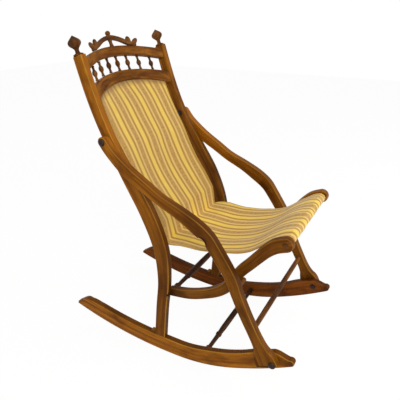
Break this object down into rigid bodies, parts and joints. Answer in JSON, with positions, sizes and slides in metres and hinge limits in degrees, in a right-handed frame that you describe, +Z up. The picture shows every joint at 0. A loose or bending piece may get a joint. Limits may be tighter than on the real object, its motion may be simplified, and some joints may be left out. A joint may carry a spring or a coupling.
{
  "type": "folding rocking chair",
  "caption": "Folding rocking chair with bent wooden sides, a spindled and crested back and a striped sling seat.",
  "frame": {"origin": "on the floor under the middle of the chair, where the rockers rest on their level flats", "axes": "+Z up, +X to the sitter's left, -Y to the front"},
  "size_m": [0.4534, 0.7445, 0.9082],
  "materials": {
    "wood": "golden brown varnished hardwood with a satin sheen",
    "cloth": "woven striped furnishing cloth in yellow, olive gold and beige",
    "iron": "dark iron pivot pins and washers"
  },
  "bodies": {
    "rocker_frame": {"rocker_left": "wood", "rocker_right": "wood", "rocker_stretcher": "wood", "foot_cleat_left": "wood", "foot_cleat_right": "wood", "rocker_pin_left": "iron", "rocker_pin_right": "iron", "rocker_washer_left": "iron", "rocker_washer_right": "iron"},
    "arm_frame": {"arm_left": "wood", "arm_right": "wood", "front_stretcher": "wood", "seat_peg_left": "wood", "seat_peg_right": "wood", "arm_pin_left": "iron", "arm_pin_right": "iron", "arm_washer_left": "iron", "arm_washer_right": "iron"},
    "back_frame": {"stile_left": "wood", "stile_right": "wood", "finial_left": "wood", "finial_right": "wood", "crest_rail": "wood", "lower_back_rail": "wood", "spindle_1": "wood", "spindle_2": "wood", "spindle_3": "wood", "spindle_4": "wood", "spindle_5": "wood", "spindle_6": "wood", "spindle_7": "wood", "crest_bow": "wood", "crest_post": "wood", "crest_ball": "wood", "rear_sling_bar": "wood", "back_sling": "cloth", "seat_sling": "cloth"},
    "seat_frame": {"seat_rail_left": "wood", "seat_rail_right": "wood", "front_seat_bar": "wood", "rear_seat_rod": "wood"}
  },
  "joints": [
    {"name": "frame_fold", "type": "hinge", "parent": "rocker_frame", "child": "arm_frame", "pos_m": [0, -0.32, 0.121], "axis": [1, 0, 0], "range_deg": [-12.6, 0]},
    {"name": "back_fold", "type": "hinge", "parent": "arm_frame", "child": "back_frame", "pos_m": [0, 0.182, 0.648], "axis": [1, 0, 0], "range_deg": [-28, 0]},
    {"name": "seat_fold", "type": "hinge", "parent": "back_frame", "child": "seat_frame", "pos_m": [0, 0.009, 0.211], "axis": [1, 0, 0], "range_deg": [-56, 0], "deforming": ["seat_sling"]}
  ],
  "couplings": [
    {"joint": "frame_fold", "follows": "back_fold", "ratio": 0.45},
    {"joint": "seat_fold", "follows": "back_fold", "ratio": 2}
  ]
}
